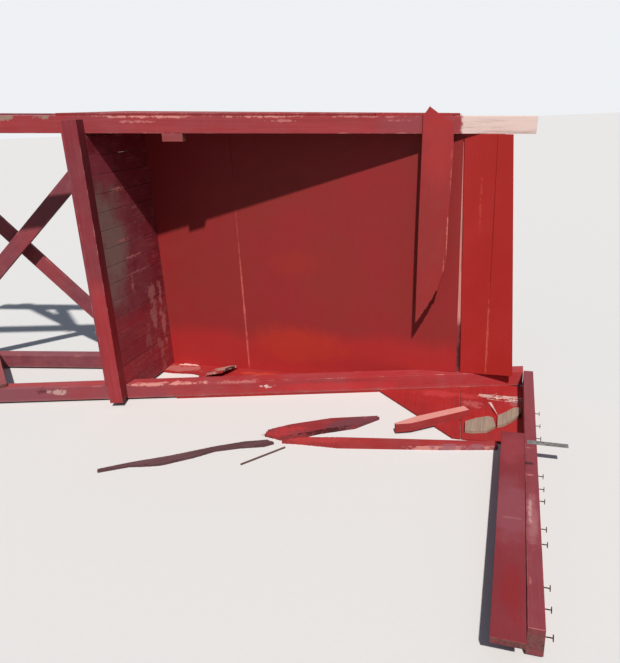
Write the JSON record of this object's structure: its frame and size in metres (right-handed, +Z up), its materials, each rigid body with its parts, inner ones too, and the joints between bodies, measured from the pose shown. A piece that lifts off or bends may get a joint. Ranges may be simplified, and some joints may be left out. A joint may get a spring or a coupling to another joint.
{
  "type": "toppled lifeguard tower",
  "caption": "Small red wooden lifeguard tower lying on its side, with its roof torn off, a braced leg frame, a plank deck, an open-fronted cabin and broken boards beside it.",
  "frame": {"origin": "middle of the bounding box in plan, at the ground on which the toppled tower lies", "axes": "+X runs up the tower from its feet to its torn roof, -Y is the cabin's open front, +Z is up from the ground"},
  "size_m": [4.0398, 1.9642, 1.5914],
  "materials": {
    "painted_plywood": "matt red paint",
    "painted_timber": "weathered red paint",
    "deck_paint": "worn dark red paint",
    "bare_wood": "weathered bare wood",
    "galvanised_steel": "dull galvanised"
  },
  "bodies": {
    "root": {"back_bearer": "painted_timber", "back_brace_front": "painted_timber", "back_brace_rear": "painted_timber", "back_wall_lower_sheet": "painted_plywood", "back_wall_middle_sheet": "painted_plywood", "back_wall_top_board": "painted_plywood", "back_wall_upper_board": "painted_plywood", "deck_boards": "deck_paint", "front_bearer": "painted_timber", "front_rim": "painted_timber", "header_board": "painted_timber", "left_back_leg": "painted_timber", "left_back_stud": "painted_timber", "left_bearer": "painted_timber", "left_cheek": "painted_plywood", "left_cleat": "painted_timber", "left_front_post": "painted_timber", "left_gusset_stub": "painted_plywood", "left_side_brace": "painted_timber", "loose_batten": "bare_wood", "loose_broken_board": "bare_wood", "loose_long_board": "painted_timber", "loose_short_block": "painted_timber", "loose_splinter": "bare_wood", "loose_stick": "bare_wood", "loose_torn_flap": "painted_timber", "lower_nailer": "painted_timber", "middle_bearer": "painted_timber", "rafter_strap": "galvanised_steel", "right_back_leg": "painted_timber", "right_back_stud": "painted_timber", "right_bearer": "painted_timber", "right_cheek": "painted_plywood", "right_front_post": "painted_timber", "right_gusset_lower": "painted_plywood", "right_gusset_upper": "painted_plywood", "right_rafter": "painted_timber", "right_side_brace": "painted_timber", "right_valance": "painted_timber", "roofing_nails": "galvanised_steel", "top_nailer": "painted_timber", "upper_nailer": "painted_timber"}
  },
  "joints": []
}
